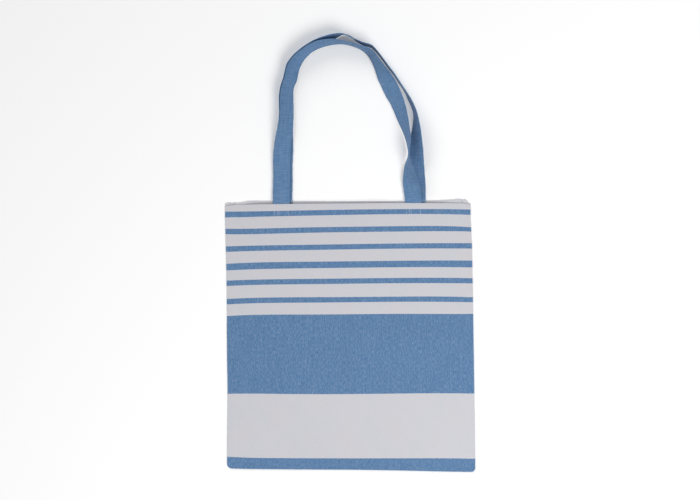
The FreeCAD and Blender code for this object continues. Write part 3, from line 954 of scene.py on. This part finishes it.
def weave(g, u, v, yarn=YARN):
    """Plain weave: above 0 where the yarn running across lies on top, below 0 where the other does."""
    a = g.math("SINE", g.math("MULTIPLY", u, math.pi / yarn))
    b = g.math("SINE", g.math("MULTIPLY", v, math.pi / yarn))
    return g.math("MULTIPLY", a, b)


def striped_material():
    m, nt, bsdf = new_material("striped_cloth")
    g = G(nt)
    uv = g.uv()
    u, v, _ = g.split(uv)
    # stripes, woven in; their edges are as uneven as one yarn
    lo, hi = -0.260, 0.260
    jit = g.math("MULTIPLY", g.math("SUBTRACT", g.noise(g.scaled(uv, (900, 60, 1)), 1.0, 1.0), 0.5), 0.00045)
    pos = g.math("DIVIDE", g.math("SUBTRACT", g.math("ADD", v, jit), lo), hi - lo)
    edges = sorted(STRIPE_MEAN * 0.001)
    stops = [(0.0, 1.0)]
    blue = True
    for e in edges:
        blue = not blue
        stops.append(((e - lo) / (hi - lo), 1.0 if blue else 0.0))
    mask = g.ramp(pos, stops, "CONSTANT")
    over = weave(g, u, v)
    # yarn by yarn variation: long streaks up the cloth, shorter ones across it
    streak = g.noise(g.scaled(uv, (620, 190, 1)), 1.0, 3.0, 0.6)
    streak2 = g.noise(g.scaled(uv, (260, 30, 1), (3.1, 1.7, 0)), 1.0, 2.0, 0.5)
    across = g.noise(g.scaled(uv, (150, 520, 1), (1.3, 5.2, 0)), 1.0, 3.0, 0.6)
    cloud = g.noise(g.scaled(uv, (26, 22, 1), (7.7, 2.2, 0)), 1.0, 3.0, 0.5)
    fleck = g.noise(g.scaled(uv, (480, 150, 1), (0.4, 9.1, 0)), 1.0, 0.0)
    # blue: blue yarn across, white yarn up it showing through
    show = g.math("ADD", g.math("MULTIPLY", over, -0.10),
                  g.math("ADD", g.math("MULTIPLY", g.math("SUBTRACT", streak, 0.5), 0.85),
                         g.math("MULTIPLY", g.math("SUBTRACT", streak2, 0.5), 0.22)))
    show = g.math("ADD", show, g.band(fleck, 0.80, 0.86, 0.0, 0.35))
    show = g.math("ADD", show, 0.10, clamp=True)
    bluecol = g.mix(show, (0.080, 0.188, 0.362, 1), (0.44, 0.53, 0.70, 1))
    bluecol = g.shade(bluecol, g.math("ADD", 0.80, g.math("ADD", g.math("MULTIPLY", across, 0.32), g.math("MULTIPLY", cloud, 0.10))))
    # white: faint lines across and a trace of shade in the weave
    w = g.math("ADD", 0.955, g.math("ADD", g.math("MULTIPLY", across, 0.050), g.math("MULTIPLY", cloud, 0.022)))
    w = g.math("ADD", w, g.math("ADD", g.math("MULTIPLY", over, 0.030), g.math("MULTIPLY", g.math("SUBTRACT", streak, 0.5), 0.045)))
    tint = g.mix(g.band(cloud, 0.3, 0.7), (0.630, 0.617, 0.652, 1), (0.607, 0.615, 0.660, 1))
    whitecol = g.shade(tint, w)
    col = g.mix(mask, whitecol, bluecol)
    g.put(bsdf.inputs["Base Color"], col)
    rough = g.band(across, 0.2, 0.8, 0.84, 0.94)
    g.put(bsdf.inputs["Roughness"], rough)
    height = g.math("ADD", g.math("MULTIPLY", over, 0.5), g.math("MULTIPLY", streak, 0.9))
    height = g.math("ADD", height, g.math("MULTIPLY", across, 0.8))
    g.put(bsdf.inputs["Normal"], g.bump(height, 0.35, 0.00016))
    bsdf.inputs["Sheen Weight"].default_value = 0.08
    bsdf.inputs["Sheen Roughness"].default_value = 0.5
    bsdf.inputs["Specular IOR Level"].default_value = 0.25
    return m


def chambray_material():
    m, nt, bsdf = new_material("handle_cloth")
    g = G(nt)
    uv = g.uv()
    u, v, _ = g.split(uv)
    over = weave(g, u, v)
    along = g.noise(g.scaled(uv, (640, 36, 1), (2.2, 0.3, 0)), 1.0, 3.0, 0.6)
    across = g.noise(g.scaled(uv, (60, 520, 1), (5.2, 1.3, 0)), 1.0, 3.0, 0.6)
    cloud = g.noise(g.scaled(uv, (90, 30, 1), (1.2, 8.3, 0)), 1.0, 3.0, 0.55)
    fleck = g.noise(g.scaled(uv, (300, 300, 1), (4.4, 0.1, 0)), 1.0, 0.0)
    show = g.math("ADD", g.math("MULTIPLY", over, -0.09), g.math("MULTIPLY", g.math("SUBTRACT", across, 0.5), 0.50))
    show = g.math("ADD", show, g.math("MULTIPLY", g.math("SUBTRACT", along, 0.5), 0.40))
    show = g.math("ADD", show, g.band(fleck, 0.76, 0.86, 0.0, 0.35))
    show = g.math("ADD", show, 0.115, clamp=True)
    col = g.mix(show, (0.085, 0.198, 0.378, 1), (0.44, 0.55, 0.74, 1))
    col = g.shade(col, g.math("ADD", 0.90, g.math("MULTIPLY", cloud, 0.16)))
    g.put(bsdf.inputs["Base Color"], col)
    g.put(bsdf.inputs["Roughness"], g.band(along, 0.2, 0.8, 0.82, 0.94))
    height = g.math("ADD", g.math("MULTIPLY", over, 0.5), g.math("ADD", g.math("MULTIPLY", along, 0.8), g.math("MULTIPLY", across, 0.8)))
    g.put(bsdf.inputs["Normal"], g.bump(height, 0.35, 0.00016))
    bsdf.inputs["Sheen Weight"].default_value = 0.08
    bsdf.inputs["Sheen Roughness"].default_value = 0.5
    bsdf.inputs["Specular IOR Level"].default_value = 0.25
    return m


def thread_material(name, a, b):
    m, nt, bsdf = new_material(name)
    g = G(nt)
    tc = nt.nodes.new("ShaderNodeTexCoord")
    n = g.noise(tc.outputs["Object"], 1400.0, 2.0)
    wv = nt.nodes.new("ShaderNodeTexWave")
    wv.inputs["Scale"].default_value = 700.0
    wv.inputs["Distortion"].default_value = 2.0
    g.put(wv.inputs["Vector"], tc.outputs["Object"])
    col = g.mix(n, (*a, 1), (*b, 1))
    g.put(bsdf.inputs["Base Color"], col)
    g.put(bsdf.inputs["Roughness"], g.band(n, 0.2, 0.8, 0.55, 0.75))
    g.put(bsdf.inputs["Normal"], g.bump(wv.outputs["Fac"] if "Fac" in wv.outputs else wv.outputs[1], 0.4, 0.00006))
    bsdf.inputs["Specular IOR Level"].default_value = 0.35
    return m


striped = striped_material()
chambray = chambray_material()
white_thread = thread_material("white_thread", (0.60, 0.62, 0.67), (0.78, 0.79, 0.82))
blue_thread = thread_material("blue_thread", (0.095, 0.20, 0.36), (0.17, 0.28, 0.44))


def finish_with(ob, mat):
    ob.data.materials.clear()
    ob.data.materials.append(mat)


for ob in (front_left, front_right, back_cloth):
    finish_with(ob, striped)
for ob in (front_handle, back_handle):
    finish_with(ob, chambray)
for ob in boxes_front + boxes_back + [hem_front_l, hem_front_r, hem_back, seam_left, seam_right, seam_bottom, over]:
    finish_with(ob, white_thread)
for ob in (top_front, top_back):
    finish_with(ob, blue_thread)

# ---------------------------------------------------------------- what moves with what
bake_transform(front_left)
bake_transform(front_right)
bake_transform(hem_front_l)
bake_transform(hem_front_r)
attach(back_cloth, "back_body")
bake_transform(front_handle)
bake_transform(top_front)
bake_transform(back_handle)
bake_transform(top_back)
for ob in boxes_front:
    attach(ob, "front_body")
for ob in boxes_back + [hem_back, seam_left, seam_right, seam_bottom, over]:
    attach(ob, "back_body")

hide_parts("front_panel")
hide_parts("front_panel")
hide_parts("back_panel")
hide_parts("front_handle", "front_handle_ends")
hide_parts("back_handle", "back_handle_ends")
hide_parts("front_handle_topstitch")
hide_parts("back_handle_topstitch")
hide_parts("front_left_box_stitch")
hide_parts("front_right_box_stitch")
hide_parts("back_left_box_stitch")
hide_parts("back_right_box_stitch")
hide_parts("front_hem_thread")
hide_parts("front_hem_thread")
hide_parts("back_hem_thread")
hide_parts("left_seam_thread")
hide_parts("right_seam_thread")
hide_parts("bottom_seam_thread")
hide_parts("overlock_thread")

# ---------------------------------------------------------------- floor, light and camera
bpy.ops.mesh.primitive_plane_add(size=6.0, location=(0, 0, -0.0004))
floor = bpy.context.object
floor.name = "floor"
fm, fnt, fb = new_material("floor")
fb.inputs["Base Color"].default_value = (0.90, 0.90, 0.90, 1)
fb.inputs["Roughness"].default_value = 1.0
fb.inputs["Specular IOR Level"].default_value = 0.0
fb.inputs["Emission Color"].default_value = (1, 1, 1, 1)
fb.inputs["Emission Strength"].default_value = 0.15
floor.data.materials.append(fm)

world = bpy.data.worlds.new("studio")
bpy.context.scene.world = world
world.use_nodes = True
bg = world.node_tree.nodes.get("Background") or world.node_tree.nodes.new("ShaderNodeBackground")
bg.inputs[0].default_value = (1, 1, 1, 1)
bg.inputs[1].default_value = 0.30


def towards_light(elevation, azimuth):
    e, a = math.radians(elevation), math.radians(azimuth)
    return Vector((math.cos(e) * math.cos(a), math.cos(e) * math.sin(a), math.sin(e)))


# a large soft box at the lower right, and a softer low light from the upper left
key = bpy.data.lights.new("key", "AREA")
key.shape = "DISK"
key.size = 1.57
KEY_SHARE, KEY_EL, KEY_DIST = 0.50, 53.0, 2.6
key.energy = math.pi * KEY_DIST**2 * KEY_SHARE * math.pi / math.sin(math.radians(KEY_EL))
key_ob = bpy.data.objects.new("key", key)
bpy.context.scene.collection.objects.link(key_ob)
aim = towards_light(KEY_EL, -46.0)
key_ob.location = Vector((0.0, 0.10, 0.0)) + aim * KEY_DIST
key_ob.rotation_mode = "QUATERNION"
key_ob.rotation_quaternion = aim.to_track_quat("Z", "Y")

fill = bpy.data.lights.new("fill", "SUN")
fill.angle = 0.55
FILL_SHARE, FILL_EL = 0.22, 31.0
fill.energy = FILL_SHARE * math.pi / math.sin(math.radians(FILL_EL))
fill_ob = bpy.data.objects.new("fill", fill)
bpy.context.scene.collection.objects.link(fill_ob)
fill_ob.rotation_mode = "QUATERNION"
fill_ob.rotation_quaternion = towards_light(FILL_EL, 128.0).to_track_quat("Z", "Y")

cam = bpy.data.cameras.new("camera")
cam.lens = 84.7
cam.sensor_width = 36.0
cam.clip_start, cam.clip_end = 0.1, 20.0
cam_ob = bpy.data.objects.new("camera", cam)
cam_ob.location = (-0.0005, 0.1335, 2.540)
cam_ob.rotation_euler = (0, 0, 0)
bpy.context.scene.collection.objects.link(cam_ob)
bpy.context.scene.camera = cam_ob
bpy.context.scene.view_settings.view_transform = "Standard"
